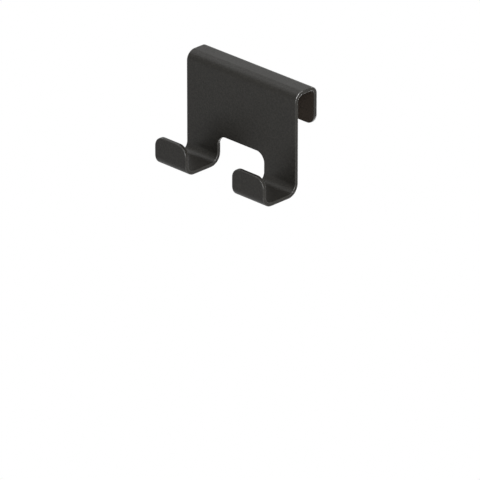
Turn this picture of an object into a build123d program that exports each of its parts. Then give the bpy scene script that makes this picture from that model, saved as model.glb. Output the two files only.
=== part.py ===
from build123d import *
from build123d.topology import topo_explore_connected_faces

import os

# Double towel hook for a glass shower screen, folded from one piece of coated steel sheet.
# Seen from the side, the sheet rises behind the glass, folds over its top edge and comes down the front as a
# flat plate. Below a square cut-out with rounded corners it is left as two tongues, which fold forward and then
# up again, so that each makes a hook with a low lip.
#
# Frame, in millimetres: the origin is on the seat, which is the underside of the top fold that rests on the
# glass edge, in the middle of the glass gap and of the width. X runs along the glass edge, with +X on the right
# of someone who faces the hooks. The hooks point along -Y, and +Z is up.

# Sheet
SHEET_THICKNESS = 1.6  # 1.5 mm steel with its coating on both faces
EDGE_BREAK = 0.25  # chamfer on the cut edges, as deburring leaves them

# Channel over the glass
GLASS_GAP = 8.8  # clear width between the front plate and the rear flange
FLANGE_DEPTH = 15.1  # rear flange, from the seat down to its lower edge
FLANGE_CORNER_RADIUS = 4.1

# Front plate and the cut-out that parts the two hooks
PLATE_DEPTH = 29.3  # from the seat down to the top of the cut-out
CUTOUT_WIDTH = 25.6
CUTOUT_HEIGHT = 12.8  # from the top of the cut-out down to the underside of the hooks
CUTOUT_CORNER_RADIUS = 4.2

# Hooks
HOOK_WIDTH = 17.2
HOOK_REACH = 16.2  # clear depth between the plate's front and the lip
LIP_HEIGHT = 12.9  # from the underside of the hook to the top of its lip
LIP_CORNER_RADIUS = 4.4

# Bends, each as the radius on the inside of the fold
REAR_TOP_BEND = 1.7
FRONT_TOP_BEND = 2.5
HOOK_BEND = 3.5
LIP_BEND = 3.1

# Places that follow from the sizes above
HALF_SHEET = SHEET_THICKNESS / 2
PLATE_WIDTH = 2 * HOOK_WIDTH + CUTOUT_WIDTH
PLATE_FRONT_Y = -GLASS_GAP / 2 - SHEET_THICKNESS
FLANGE_BACK_Y = GLASS_GAP / 2 + SHEET_THICKNESS
LIP_FRONT_Y = PLATE_FRONT_Y - HOOK_REACH - SHEET_THICKNESS
CUTOUT_TOP_Z = -PLATE_DEPTH
HOOK_UNDERSIDE_Z = CUTOUT_TOP_Z - CUTOUT_HEIGHT
LIP_TOP_Z = HOOK_UNDERSIDE_Z + LIP_HEIGHT
NEAR = 0.01  # within which an edge counts as at a height
SHARP_ANGLE = 45.0  # degrees between two faces, past which their edge is a cut edge and not a bend line


def side_profile():
    """The folded sheet seen from the side: its middle line, with a radius at each bend, given its thickness."""
    flange_y = FLANGE_BACK_Y - HALF_SHEET
    plate_y = PLATE_FRONT_Y + HALF_SHEET
    lip_y = LIP_FRONT_Y + HALF_SHEET
    hook_z = HOOK_UNDERSIDE_Z + HALF_SHEET
    bends = [REAR_TOP_BEND, FRONT_TOP_BEND, HOOK_BEND, LIP_BEND]
    middle_line = FilletPolyline(
        (flange_y, -FLANGE_DEPTH),
        (flange_y, HALF_SHEET),
        (plate_y, HALF_SHEET),
        (plate_y, hook_z),
        (lip_y, hook_z),
        (lip_y, LIP_TOP_Z),
        radius=[bend + HALF_SHEET for bend in bends],
    )
    return Plane.YZ * trace(middle_line, SHEET_THICKNESS)


def cutout():
    """The space between the hooks: a slot with rounded corners through the plate, and a plain one before it."""
    slot = Rectangle(CUTOUT_WIDTH, CUTOUT_HEIGHT, align=(Align.CENTER, Align.MAX))
    slot = fillet(slot.vertices().group_by(Axis.Y)[-1], CUTOUT_CORNER_RADIUS)
    plate_front = Plane.XZ.offset(-PLATE_FRONT_Y)
    through_plate = extrude(plate_front * Pos(0, CUTOUT_TOP_Z) * slot, -SHEET_THICKNESS)
    between_hooks = Rectangle(CUTOUT_WIDTH, LIP_HEIGHT, align=(Align.CENTER, Align.MIN))
    before_plate = extrude(plate_front * Pos(0, HOOK_UNDERSIDE_Z) * between_hooks, PLATE_FRONT_Y - LIP_FRONT_Y)
    return through_plate + before_plate


def corner_edges(sheet, height):
    """The edges that run through the sheet's thickness, front to back, at one height."""
    return sheet.edges().filter_by(Axis.Y).filter_by_position(Axis.Z, height - NEAR, height + NEAR)


def is_cut_edge(edge, sheet):
    """Whether the two faces beside an edge meet at an angle, as at a cut edge, and not smoothly as at a bend."""
    middle = edge @ 0.5
    first, second = (Face(face).normal_at(middle) for face in topo_explore_connected_faces(edge, sheet))
    return first.get_angle(second) > SHARP_ANGLE


def hook_plate():
    """The whole piece: the folded strip, parted into two hooks, with rounded corners and broken cut edges."""
    sheet = extrude(side_profile(), PLATE_WIDTH / 2, both=True) - cutout()
    sheet = fillet(corner_edges(sheet, -FLANGE_DEPTH), FLANGE_CORNER_RADIUS)
    sheet = fillet(corner_edges(sheet, LIP_TOP_Z), LIP_CORNER_RADIUS)
    return chamfer([edge for edge in sheet.edges() if is_cut_edge(edge, sheet)], EDGE_BREAK)


os.makedirs("parts", exist_ok=True)
export_step(hook_plate(), "parts/hook_plate.step")
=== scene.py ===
"""Looks of a towel hook for a glass shower screen.

The hook is one steel sheet with a matte, near-black coating. It is modelled the way the sheet is folded:
the rear flange comes first, each bend is spun from the last edge, each flat is drawn on from there, and the
lips come last. The sheet then gets its thickness, and its cut edges are rounded.

Lengths are metres, in the part's own frame: +X along the glass edge, -Y towards the viewer and +Z up, with
the origin on the seat that rests on the glass.
"""

from __future__ import annotations

import logging
import math
from collections.abc import Callable
from dataclasses import dataclass
from enum import Enum

import bmesh
import bpy
from mathutils import Matrix, Vector

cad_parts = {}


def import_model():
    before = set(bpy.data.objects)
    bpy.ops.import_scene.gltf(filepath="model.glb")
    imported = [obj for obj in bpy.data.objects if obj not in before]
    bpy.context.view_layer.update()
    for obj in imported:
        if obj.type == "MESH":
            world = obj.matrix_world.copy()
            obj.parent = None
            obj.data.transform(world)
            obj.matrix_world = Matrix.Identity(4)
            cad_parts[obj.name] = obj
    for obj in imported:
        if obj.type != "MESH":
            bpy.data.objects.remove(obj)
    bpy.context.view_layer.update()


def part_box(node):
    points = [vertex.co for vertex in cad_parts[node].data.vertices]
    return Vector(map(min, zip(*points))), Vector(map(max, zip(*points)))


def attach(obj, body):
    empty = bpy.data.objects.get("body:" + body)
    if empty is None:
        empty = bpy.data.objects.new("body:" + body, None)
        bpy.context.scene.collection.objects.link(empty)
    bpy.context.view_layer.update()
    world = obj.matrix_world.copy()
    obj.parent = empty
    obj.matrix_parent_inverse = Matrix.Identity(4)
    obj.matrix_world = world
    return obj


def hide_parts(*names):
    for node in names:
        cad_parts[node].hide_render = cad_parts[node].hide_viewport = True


LOG = logging.getLogger("towel_hook")

PHOTO_SIDE = 480  # pixels along each side of the picture
MILLIMETRE = 0.001
NEAR = 1e-6  # metres within which two places count as one
QUARTER_TURN = math.pi / 2
ROUND_PROFILE = 0.5  # of a bevel, which makes it a circle's arc
FLATS_FIRST = 100  # how far the shading follows the larger faces, out of 100
WHITE = (1.0, 1.0, 1.0, 1.0)
CUT_EDGE_ANGLE = math.radians(60.0)  # between two faces, past which their edge is a cut edge and not a bend
EDGE_ATTRIBUTE = "rounded_edge"  # the smooth skin's share, which is 0 away from the cut edges
CHANNEL_ATTRIBUTE = "channel_inside"  # 1 inside the channel, less round its front bend, and 0 elsewhere


class BodyName(Enum):
    """The part's rigid bodies."""

    ROOT = "root"


class NodeName(Enum):
    """The part's solids."""

    HOOK_PLATE = "hook_plate"


class SlotName(Enum):
    """The part's material slots."""

    COATED_STEEL = "coated_steel"


def select_vertices(piece: bpy.types.Object, wanted: Callable[[Vector], bool]) -> None:
    """Selects a piece's vertices by their place, in edit mode, and the edges and faces between them.

    Args:
        piece: The mesh object that is in edit mode.
        wanted: Says of a place whether its vertex is selected.
    """
    bpy.ops.mesh.select_mode(type="VERT")
    bpy.ops.mesh.select_all(action="DESELECT")
    mesh = bmesh.from_edit_mesh(piece.data)
    for vertex in mesh.verts:
        if wanted(vertex.co):
            vertex.select_set(True)
    mesh.select_flush(True)
    bmesh.update_edit_mesh(piece.data)


def apply_modifier(piece: bpy.types.Object, kind: str, **settings: object) -> None:
    """Adds a modifier to a piece, sets it up and applies it.

    Args:
        piece: The active mesh object, in object mode.
        kind: Blender's name for the modifier's type.
        **settings: The modifier's own settings, by name.
    """
    bpy.ops.object.modifier_add(type=kind)
    modifier = piece.modifiers[-1]
    for name, value in settings.items():
        setattr(modifier, name, value)
    bpy.ops.object.modifier_apply(modifier=modifier.name)


@dataclass(frozen=True)
class MatteCoating:
    """A matte powder coating on steel: fine-grained on the flats, and smoother where it runs over an edge.

    Attributes:
        name: The material's name.
        colour: The coating's own colour, linear.
        grain_contrast: How much lighter and darker the grains can be than that colour, as a share of it.
        channel_tint: What that colour is multiplied by inside the channel, which makes it lighter and
            browner there.
        edge_colour: The coating's colour on the rounded cut edges, linear.
        roughness: Of the gloss on the flats.
        roughness_spread: How far that varies over the flats, up and down.
        edge_roughness: Of the gloss on the smooth skin that the coating has on the rounded edges.
        edge_index: That skin's index of refraction, which sets how brightly it glints.
        gloss: How much the surface mirrors, as the shader's specular level.
        grain_size: Across one grain of the coating.
        grain_depth: From the top of a grain to its foot.
        cloud_size: Across a patch of slightly different gloss.
    """

    name: str = "matte_coating"
    colour: tuple[float, float, float] = (0.0215, 0.0202, 0.0177)
    grain_contrast: float = 0.85
    channel_tint: tuple[float, float, float] = (1.81, 1.54, 1.42)
    edge_colour: tuple[float, float, float] = (0.024, 0.023, 0.021)
    roughness: float = 0.43
    roughness_spread: float = 0.04
    edge_roughness: float = 0.25
    edge_index: float = 2.05
    gloss: float = 0.15
    grain_size: float = 0.62 * MILLIMETRE
    grain_depth: float = 0.004 * MILLIMETRE
    cloud_size: float = 9.0 * MILLIMETRE

    def material(self) -> bpy.types.Material:
        """Makes the material.

        Returns:
            The new material, which reads Object coordinates and the marks on the faces.
        """
        material = bpy.data.materials.new(self.name)
        material.use_nodes = True
        tree = material.node_tree
        shader = tree.nodes["Principled BSDF"]
        shader.inputs["Specular IOR Level"].default_value = self.gloss
        shader.inputs["Coat Roughness"].default_value = self.edge_roughness
        shader.inputs["Coat IOR"].default_value = self.edge_index
        edge = self.add_mark(tree, EDGE_ATTRIBUTE)
        grain = self.add_noise(tree, self.grain_size)
        clouds = self.add_noise(tree, self.cloud_size)
        tree.links.new(self.add_colour(tree, grain, edge), shader.inputs["Base Color"])
        tree.links.new(self.add_roughness(tree, clouds), shader.inputs["Roughness"])
        tree.links.new(edge, shader.inputs["Coat Weight"])
        bump = tree.nodes.new("ShaderNodeBump")
        bump.inputs["Distance"].default_value = self.grain_depth
        tree.links.new(grain, bump.inputs["Height"])
        tree.links.new(bump.outputs["Normal"], shader.inputs["Normal"])
        return material

    def add_mark(self, tree: bpy.types.NodeTree, name: str) -> bpy.types.NodeSocket:
        """Adds a mark that the faces carry.

        Args:
            tree: The node tree that gets it.
            name: The mark's name.

        Returns:
            The mark, from 0 to 1.
        """
        mark = tree.nodes.new("ShaderNodeAttribute")
        mark.attribute_name = name
        return mark.outputs["Fac"]

    def add_noise(self, tree: bpy.types.NodeTree, size: float) -> bpy.types.NodeSocket:
        """Adds noise that lies still on the piece.

        Args:
            tree: The node tree that gets it.
            size: Across one patch of the noise.

        Returns:
            The noise, from 0 to 1.
        """
        place = tree.nodes.new("ShaderNodeTexCoord")
        noise = tree.nodes.new("ShaderNodeTexNoise")
        noise.inputs["Scale"].default_value = 1.0 / size
        tree.links.new(place.outputs["Object"], noise.inputs["Vector"])
        return noise.outputs["Fac"]

    def add_colour(
        self, tree: bpy.types.NodeTree, grain: bpy.types.NodeSocket, edge: bpy.types.NodeSocket
    ) -> bpy.types.NodeSocket:
        """Adds the colour: grained on the flats, lighter and browner inside the channel and plain on the
        rounded edges.

        Args:
            tree: The node tree that gets it.
            grain: The grain, from 0 to 1.
            edge: The share of the smooth skin, which is 0 away from the rounded edges.

        Returns:
            The colour.
        """
        grains = tree.nodes.new("ShaderNodeMixRGB")
        for socket, share in (("Color1", 1.0 - self.grain_contrast), ("Color2", 1.0 + self.grain_contrast)):
            grains.inputs[socket].default_value = (*(part * share for part in self.colour), 1.0)
        tree.links.new(grain, grains.inputs["Fac"])
        # Lighter and browner inside the channel, as far as the channel mark reaches.
        channel_tone = tree.nodes.new("ShaderNodeMixRGB")
        channel_tone.blend_type = "MULTIPLY"
        channel_tone.inputs["Color2"].default_value = (*self.channel_tint, 1.0)
        tree.links.new(self.add_mark(tree, CHANNEL_ATTRIBUTE), channel_tone.inputs["Fac"])
        tree.links.new(grains.outputs["Color"], channel_tone.inputs["Color1"])
        skin = tree.nodes.new("ShaderNodeMixRGB")
        skin.inputs["Color2"].default_value = (*self.edge_colour, 1.0)
        tree.links.new(edge, skin.inputs["Fac"])
        tree.links.new(channel_tone.outputs["Color"], skin.inputs["Color1"])
        return skin.outputs["Color"]

    def add_roughness(self, tree: bpy.types.NodeTree, clouds: bpy.types.NodeSocket) -> bpy.types.NodeSocket:
        """Adds the roughness, which varies in soft patches.

        Args:
            tree: The node tree that gets it.
            clouds: The patches, from 0 to 1.

        Returns:
            The roughness.
        """
        flats = tree.nodes.new("ShaderNodeMapRange")
        flats.inputs["To Min"].default_value = self.roughness - self.roughness_spread
        flats.inputs["To Max"].default_value = self.roughness + self.roughness_spread
        tree.links.new(clouds, flats.inputs["Value"])
        return flats.outputs["Result"]


@dataclass
class OutlinePen:
    """Draws an outline in a plane of one Y, by extruding and spinning the vertex that is selected.

    Attributes:
        x: Where the pen is, along X.
        y: The plane that it draws in.
        z: Where the pen is, along Z.
        arc_steps: Straight pieces in a quarter turn.
    """

    x: float
    y: float
    z: float
    arc_steps: int

    def line(self, x: float, z: float) -> None:
        """Draws a straight line.

        Args:
            x: The line's end, along X.
            z: The line's end, along Z.
        """
        step = (x - self.x, 0.0, z - self.z)
        bpy.ops.mesh.extrude_vertices_move(TRANSFORM_OT_translate={"value": step})
        self.x, self.z = x, z

    def arc(self, centre_x: float, centre_z: float, x: float, z: float) -> None:
        """Draws a quarter of a circle.

        Args:
            centre_x: The circle's centre, along X.
            centre_z: The circle's centre, along Z.
            x: The arc's end, along X.
            z: The arc's end, along Z.
        """
        start = (self.x - centre_x, self.z - centre_z)
        end = (x - centre_x, z - centre_z)
        turn = math.copysign(QUARTER_TURN, start[1] * end[0] - start[0] * end[1])
        centre = (centre_x, self.y, centre_z)
        bpy.ops.mesh.spin(steps=self.arc_steps, angle=-turn, center=centre, axis=(0.0, 1.0, 0.0))
        self.x, self.z = x, z


@dataclass
class FoldedSheet:
    """The hook itself: a steel sheet, folded over the glass edge and into two hooks.

    Attributes:
        low: Lowest corner of the part's box.
        high: Highest corner of the part's box.
        flange_depth: Rear flange, from the seat down to its lower edge.
        flange_corner: Radius of the flange's lower corners.
        plate_depth: From the seat down to the top of the cut-out.
        cutout_width: Between the two hooks.
        cutout_corner: Radius of the cut-out's upper corners.
        lip_height: From the underside of a hook to the top of its lip.
        lip_corner: Radius of the lips' upper corners.
        rear_top_bend: Inside radius of the fold from the flange to the top.
        front_top_bend: Inside radius of the fold from the top to the plate.
        hook_bend: Inside radius of the fold from the plate to a hook.
        lip_bend: Inside radius of the fold from a hook to its lip.
        edge_round: Radius of the cut edges, as deburring and the coating leave them.
        bend_steps: Straight pieces in each quarter turn.
        edge_steps: Straight pieces in the rounding of a cut edge.
        straight_run: Length from which a face of that rounding counts as straight.
        fold_drop: From the seat down to where the top fold's edges end and those of its sides begin.
        fold_mark: The smooth skin's share of the coating on the curved cut edges of the top fold.
        curved_mark: Its share on the other curved cut edges.
        straight_mark: Its share on the straight cut edges.
        coating: The sheet's finish.
    """

    low: Vector
    high: Vector
    flange_depth: float = 15.1 * MILLIMETRE
    flange_corner: float = 4.1 * MILLIMETRE
    plate_depth: float = 29.3 * MILLIMETRE
    cutout_width: float = 25.6 * MILLIMETRE
    cutout_corner: float = 4.2 * MILLIMETRE
    lip_height: float = 12.9 * MILLIMETRE
    lip_corner: float = 4.4 * MILLIMETRE
    rear_top_bend: float = 1.7 * MILLIMETRE
    front_top_bend: float = 2.5 * MILLIMETRE
    hook_bend: float = 3.5 * MILLIMETRE
    lip_bend: float = 3.1 * MILLIMETRE
    edge_round: float = 0.25 * MILLIMETRE
    bend_steps: int = 16
    edge_steps: int = 4
    straight_run: float = 1.0 * MILLIMETRE
    fold_drop: float = 0.5 * MILLIMETRE
    fold_mark: float = 1.0
    curved_mark: float = 0.3
    straight_mark: float = 0.1
    coating: MatteCoating = MatteCoating()

    @property
    def thickness(self) -> float:
        """The sheet's thickness, which is the height of the top above the seat."""
        return self.high.z

    @property
    def half(self) -> float:
        """Half of the sheet's thickness, from a face to the sheet's middle."""
        return self.thickness / 2

    @property
    def half_gap(self) -> float:
        """From the middle of the gap for the glass to the sheet on either side."""
        return self.high.y - self.thickness

    @property
    def plate_y(self) -> float:
        """The middle of the front plate, as far before the glass as the flange is behind it."""
        return self.half - self.high.y

    @property
    def hook_z(self) -> float:
        """The middle of the hooks' floors."""
        return self.low.z + self.half

    @property
    def hook_bend_z(self) -> float:
        """The height at which the plate starts to bend into the hooks."""
        return self.hook_z + self.hook_bend + self.half

    @property
    def lip_top_z(self) -> float:
        """The height of the lips' upper edges."""
        return self.low.z + self.lip_height

    def build(self) -> bpy.types.Object:
        """Models the sheet.

        Returns:
            The finished piece, at the origin and with its place in its mesh.
        """
        piece = self.add_flange()
        bpy.ops.object.mode_set(mode="EDIT")
        self.fold_over_glass(piece)
        self.draw_plate(piece)
        self.fold_hooks(piece)
        bpy.ops.mesh.select_all(action="SELECT")
        bpy.ops.mesh.normals_make_consistent(inside=False)
        bpy.ops.object.mode_set(mode="OBJECT")
        self.thicken(piece)
        return piece

    def add_flange(self) -> bpy.types.Object:
        """Adds the flat of the rear flange as a plane.

        Returns:
            The new piece, which the other steps go on with.
        """
        bpy.ops.object.select_all(action="DESELECT")
        flat_top = -self.rear_top_bend
        bpy.ops.mesh.primitive_plane_add(
            size=1.0,
            location=(0.0, self.high.y - self.half, (flat_top - self.flange_depth) / 2),
            rotation=(QUARTER_TURN, 0.0, 0.0),
        )
        piece = bpy.context.object
        piece.name = piece.data.name = "towel_hook"
        piece.scale = (self.high.x - self.low.x, flat_top + self.flange_depth, 1.0)
        bpy.ops.object.transform_apply(location=True, rotation=True, scale=True)
        return piece

    def round_corners(self, radius: float) -> None:
        """Rounds the corners that are selected.

        Args:
            radius: The corners' radius.
        """
        bpy.ops.mesh.bevel(
            offset=radius,
            offset_type="OFFSET",
            segments=self.bend_steps,
            profile=ROUND_PROFILE,
            affect="VERTICES",
            clamp_overlap=False,
        )

    def bend(self, centre_y: float, centre_z: float, turn: float) -> None:
        """Spins the edges that are selected into a bend across the sheet.

        Args:
            centre_y: The bend's axis, along Y.
            centre_z: The bend's axis, along Z.
            turn: The angle, positive from +Y towards +Z.
        """
        bpy.ops.mesh.spin(
            steps=self.bend_steps, angle=-turn, center=(0.0, centre_y, centre_z), axis=(1.0, 0.0, 0.0)
        )

    def draw_on(self, along_y: float, along_z: float) -> None:
        """Draws the sheet on, flat, from the edges that are selected, by a length along Y and along Z."""
        bpy.ops.mesh.extrude_edges_move(TRANSFORM_OT_translate={"value": (0.0, along_y, along_z)})

    def fold_over_glass(self, piece: bpy.types.Object) -> None:
        """Rounds the flange's lower corners, and makes both bends at the top and the flat between them.

        Args:
            piece: The flange, in edit mode.
        """
        rear, front = self.rear_top_bend + self.half, self.front_top_bend + self.half
        flange_y, top_z = self.high.y - self.half, self.half
        select_vertices(piece, lambda at: at.z < NEAR - self.flange_depth)
        self.round_corners(self.flange_corner)
        select_vertices(piece, lambda at: abs(at.z - (top_z - rear)) < NEAR)
        self.bend(flange_y - rear, top_z - rear, QUARTER_TURN)
        self.draw_on((self.plate_y + front) - (flange_y - rear), 0.0)
        self.bend(self.plate_y + front, top_z - front, QUARTER_TURN)

    def draw_plate(self, piece: bpy.types.Object) -> None:
        """Draws the flat of the front plate round its cut-out and fills it.

        Args:
            piece: The sheet so far, in edit mode.
        """
        top = -self.front_top_bend
        side, gap = self.high.x, self.cutout_width / 2
        radius, cutout_top, bottom = self.cutout_corner, -self.plate_depth, self.hook_bend_z
        start = Vector((-side, self.plate_y, top))
        select_vertices(piece, lambda at: (at - start).length < NEAR)
        pen = OutlinePen(-side, self.plate_y, top, self.bend_steps)
        pen.line(-side, bottom)
        pen.line(-gap, bottom)
        pen.line(-gap, cutout_top - radius)
        pen.arc(radius - gap, cutout_top - radius, radius - gap, cutout_top)
        pen.line(gap - radius, cutout_top)
        pen.arc(gap - radius, cutout_top - radius, gap, cutout_top - radius)
        pen.line(gap, bottom)
        pen.line(side, bottom)
        pen.line(side, top)
        bpy.ops.mesh.select_all(action="SELECT")
        bpy.ops.mesh.remove_doubles(threshold=NEAR)
        select_vertices(piece, lambda at: abs(at.y - self.plate_y) < NEAR and at.z < top + NEAR)
        bpy.ops.mesh.edge_face_add()

    def fold_hooks(self, piece: bpy.types.Object) -> None:
        """Folds both tongues of the plate forward and then up, and rounds the lips' corners.

        Args:
            piece: The sheet so far, in edit mode.
        """
        rear, front = self.hook_bend + self.half, self.lip_bend + self.half
        lip_y = self.low.y + self.half
        select_vertices(piece, lambda at: abs(at.z - self.hook_bend_z) < NEAR)
        self.bend(self.plate_y - rear, self.hook_bend_z, -QUARTER_TURN)
        self.draw_on((lip_y + front) - (self.plate_y - rear), 0.0)
        self.bend(lip_y + front, self.hook_z + front, -QUARTER_TURN)
        self.draw_on(0.0, self.lip_top_z - (self.hook_z + front))
        select_vertices(piece, lambda at: abs(at.y - lip_y) < NEAR and at.z > self.lip_top_z - NEAR)
        self.round_corners(self.lip_corner)

    def round_edges(self) -> None:
        """Rounds the cut edges of the thick sheet, in edit mode, and leaves the new faces selected."""
        bpy.ops.mesh.select_mode(type="EDGE")
        bpy.ops.mesh.select_all(action="DESELECT")
        bpy.ops.mesh.edges_select_sharp(sharpness=CUT_EDGE_ANGLE)
        bpy.ops.mesh.bevel(
            offset=self.edge_round,
            offset_type="OFFSET",
            segments=self.edge_steps,
            profile=ROUND_PROFILE,
            affect="EDGES",
            clamp_overlap=False,
        )

    def mark_faces(self, piece: bpy.types.Object) -> None:
        """Marks the rounded edges and the channel's inside for the coating's material.

        Args:
            piece: The sheet, in edit mode, with the faces of its rounded edges selected.
        """
        mesh = bmesh.from_edit_mesh(piece.data)
        rounded = mesh.faces.layers.float.new(EDGE_ATTRIBUTE)
        inside = mesh.faces.layers.float.new(CHANNEL_ATTRIBUTE)
        for face in mesh.faces:
            face[rounded] = self.edge_mark(face) if face.select else 0.0
            face[inside] = self.channel_mark(face)
        bmesh.update_edit_mesh(piece.data)

    def edge_mark(self, face: bmesh.types.BMFace) -> float:
        """Says how smooth the coating is on a face of a rounded cut edge.

        Args:
            face: The face.

        Returns:
            The share of the smooth skin, from 0 to 1.
        """
        if max(edge.calc_length() for edge in face.edges) > self.straight_run:
            return self.straight_mark
        is_top_fold = face.calc_center_median().z > -self.fold_drop
        return self.fold_mark if is_top_fold else self.curved_mark

    def channel_mark(self, face: bmesh.types.BMFace) -> float:
        """Says how far inside the channel a face is.

        Args:
            face: The face.

        Returns:
            1 on the flange and under the top, less round the front bend, and 0 on the plate and outside.
        """
        middle = face.calc_center_median()
        if middle.z > NEAR or abs(middle.y) > self.half_gap + NEAR:
            return 0.0
        return min(1.0, (middle.y + self.half_gap) / self.front_top_bend)

    def thicken(self, piece: bpy.types.Object) -> None:
        """Gives the sheet its thickness, rounds its cut edges and smooths its shading.

        Args:
            piece: The folded sheet's middle surface, in object mode.
        """
        apply_modifier(
            piece,
            "SOLIDIFY",
            thickness=self.thickness,
            offset=0.0,
            use_even_offset=True,
            use_quality_normals=True,
        )
        bpy.ops.object.mode_set(mode="EDIT")
        self.round_edges()
        self.mark_faces(piece)
        bpy.ops.object.mode_set(mode="OBJECT")
        bpy.ops.object.shade_smooth()
        apply_modifier(piece, "WEIGHTED_NORMAL", mode="FACE_AREA", weight=FLATS_FIRST, keep_sharp=False)

    def dress(self, piece: bpy.types.Object) -> None:
        """Gives the sheet its coating."""
        piece.data.materials.append(self.coating.material())


def from_angles(azimuth: float, elevation: float) -> Vector:
    """The direction from the hook towards a place round it.

    Args:
        azimuth: In degrees, from the front towards the right.
        elevation: In degrees above the horizon.

    Returns:
        A vector of length one.
    """
    turn, rise = math.radians(azimuth), math.radians(elevation)
    flat = math.cos(rise)
    return Vector((math.sin(turn) * flat, -math.cos(turn) * flat, math.sin(rise)))


@dataclass(frozen=True)
class SoftBox:
    """A square lamp with a soft, even face, aimed at the hook.

    Attributes:
        name: The lamp's name.
        azimuth: Where it stands, in degrees from the front towards the right.
        elevation: How high it stands, in degrees.
        distance: From the hook's middle to the lamp.
        side: Along each side of its face.
        watts: Its power.
    """

    name: str
    azimuth: float
    elevation: float
    distance: float
    side: float
    watts: float

    def place(self, target: Vector) -> None:
        """Sets the lamp up.

        Args:
            target: The point that it is aimed at.
        """
        towards = from_angles(self.azimuth, self.elevation)
        data = bpy.data.lights.new(self.name, "AREA")
        data.shape = "SQUARE"
        data.size = self.side
        data.energy = self.watts
        lamp = bpy.data.objects.new(self.name, data)
        lamp.location = target + towards * self.distance
        lamp.rotation_euler = (-towards).to_track_quat("-Z", "Y").to_euler()
        bpy.context.scene.collection.objects.link(lamp)


@dataclass(frozen=True)
class PictureCamera:
    """The camera, set by where one point of the hook lies in the picture.

    Attributes:
        azimuth: Where it stands, in degrees from the front towards the right.
        elevation: How high it stands, in degrees.
        lens: Focal length, in millimetres.
        distance: From the camera's own plane to the point.
        pixel_x: Where the point lies in the picture, from the left.
        pixel_y: Where the point lies in the picture, from the top.
        sensor: The sensor's width, in millimetres.
    """

    azimuth: float = 44.833
    elevation: float = 24.811
    lens: float = 538.54
    distance: float = 2.8077
    pixel_x: float = 240.68
    pixel_y: float = 72.16
    sensor: float = 36.0

    def place(self, point: Vector) -> None:
        """Makes the camera and gives it to the scene.

        Args:
            point: The point that lies at the stated pixel.
        """
        backwards = from_angles(self.azimuth, self.elevation)
        right = Vector((0.0, 0.0, 1.0)).cross(backwards).normalized()
        up = backwards.cross(right)
        middle = PHOTO_SIDE / 2
        pixel = self.distance * self.sensor / self.lens / PHOTO_SIDE
        across, down = (self.pixel_x - middle) * pixel, (self.pixel_y - middle) * pixel
        data = bpy.data.cameras.new("picture_camera")
        data.lens = self.lens
        data.sensor_width = self.sensor
        camera = bpy.data.objects.new("picture_camera", data)
        turned = Matrix((right, up, backwards)).transposed()
        camera.matrix_world = Matrix.Translation(
            point + backwards * self.distance - right * across + up * down
        ) @ turned.to_4x4()
        bpy.context.scene.collection.objects.link(camera)
        bpy.context.scene.camera = camera


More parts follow.
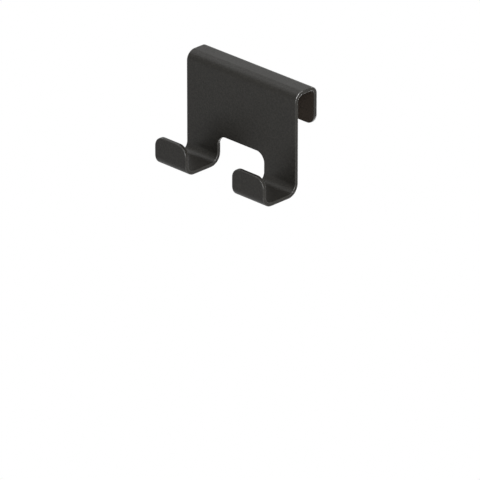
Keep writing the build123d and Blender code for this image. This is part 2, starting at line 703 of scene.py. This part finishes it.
@dataclass(frozen=True)
class Studio:
    """The pale floor, the white surroundings and the lamps.

    Attributes:
        floor_drop: From the hook's lowest point down to the floor.
        floor_side: Along each side of the floor.
        floor_shade: The floor's own brightness where light falls on it.
        surround: How brightly the surroundings light what isn't glossy.
        lamps: The soft boxes.
    """

    floor_drop: float = 3.0
    floor_side: float = 30.0
    floor_shade: float = 0.8
    surround: float = 0.1
    lamps: tuple[SoftBox, ...] = (
        SoftBox("key_box", azimuth=65.0, elevation=8.0, distance=0.8, side=0.4, watts=6.1),
        SoftBox("upper_box", azimuth=74.0, elevation=44.0, distance=0.8, side=0.24, watts=3.2),
        SoftBox("left_box", azimuth=-90.0, elevation=44.0, distance=0.8, side=0.5, watts=1.9),
        SoftBox("front_box", azimuth=-30.0, elevation=-12.0, distance=0.8, side=0.4, watts=0.5),
        SoftBox("rear_box", azimuth=-135.0, elevation=30.0, distance=0.8, side=0.5, watts=0.28),
        SoftBox("back_box", azimuth=182.0, elevation=-38.0, distance=0.8, side=0.3, watts=3.6),
    )

    def seen_directly(self, tree: bpy.types.NodeTree) -> bpy.types.NodeSocket:
        """Adds nodes that tell rays of the camera, gloss and glass from light that falls on a surface.

        Args:
            tree: The node tree that gets them.

        Returns:
            A socket that is 1 for such rays and 0 for all others.
        """
        rays = tree.nodes.new("ShaderNodeLightPath")
        gloss = tree.nodes.new("ShaderNodeMath")
        gloss.operation = "MAXIMUM"
        tree.links.new(rays.outputs["Is Camera Ray"], gloss.inputs[0])
        tree.links.new(rays.outputs["Is Glossy Ray"], gloss.inputs[1])
        either = tree.nodes.new("ShaderNodeMath")
        either.operation = "MAXIMUM"
        tree.links.new(gloss.outputs[0], either.inputs[0])
        tree.links.new(rays.outputs["Is Transmission Ray"], either.inputs[1])
        return either.outputs[0]

    def add_floor(self, level: float) -> None:
        """Lays the floor.

        Args:
            level: The height of the hook's lowest point.
        """
        bpy.ops.object.select_all(action="DESELECT")
        bpy.ops.mesh.primitive_plane_add(size=self.floor_side, location=(0.0, 0.0, level - self.floor_drop))
        floor = bpy.context.object
        floor.name = "floor"
        material = bpy.data.materials.new("pale_floor")
        material.use_nodes = True
        tree = material.node_tree
        tree.nodes.clear()
        matte = tree.nodes.new("ShaderNodeBsdfDiffuse")
        matte.inputs["Color"].default_value = (self.floor_shade,) * 3 + (1.0,)
        white = tree.nodes.new("ShaderNodeEmission")
        mix = tree.nodes.new("ShaderNodeMixShader")
        output = tree.nodes.new("ShaderNodeOutputMaterial")
        tree.links.new(self.seen_directly(tree), mix.inputs["Fac"])
        tree.links.new(matte.outputs["BSDF"], mix.inputs[1])
        tree.links.new(white.outputs["Emission"], mix.inputs[2])
        tree.links.new(mix.outputs["Shader"], output.inputs["Surface"])
        floor.data.materials.append(material)

    def add_surroundings(self) -> None:
        """Makes the world white where it is seen, and a plain soft light elsewhere."""
        world = bpy.data.worlds.new("white_surroundings")
        bpy.context.scene.world = world
        world.use_nodes = True
        tree = world.node_tree
        background = tree.nodes["Background"]
        background.inputs["Color"].default_value = WHITE
        level = tree.nodes.new("ShaderNodeMapRange")
        level.inputs["To Min"].default_value = self.surround
        level.inputs["To Max"].default_value = 1.0
        tree.links.new(self.seen_directly(tree), level.inputs["Value"])
        tree.links.new(level.outputs["Result"], background.inputs["Strength"])

    def build(self, low: Vector, high: Vector) -> None:
        """Sets up the whole studio round the hook.

        Args:
            low: Lowest corner of the hook's box.
            high: Highest corner of the hook's box.
        """
        self.add_floor(low.z)
        self.add_surroundings()
        for lamp in self.lamps:
            lamp.place((low + high) / 2)
        bpy.context.scene.view_settings.view_transform = "Standard"


def main() -> None:
    """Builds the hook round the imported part, dresses it, and sets up the studio and the camera."""
    logging.basicConfig(level=logging.INFO, format="%(name)s: %(message)s")
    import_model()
    low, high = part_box(NodeName.HOOK_PLATE.value)

    sheet = FoldedSheet(low, high)
    hook = sheet.build()
    sheet.dress(hook)
    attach(hook, BodyName.ROOT.value)
    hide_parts(NodeName.HOOK_PLATE.value)
    LOG.info("%s: %d faces", hook.name, len(hook.data.polygons))

    Studio().build(low, high)
    PictureCamera().place(Vector((0.0, -high.y, high.z)))


if __name__ == "__main__":
    main()
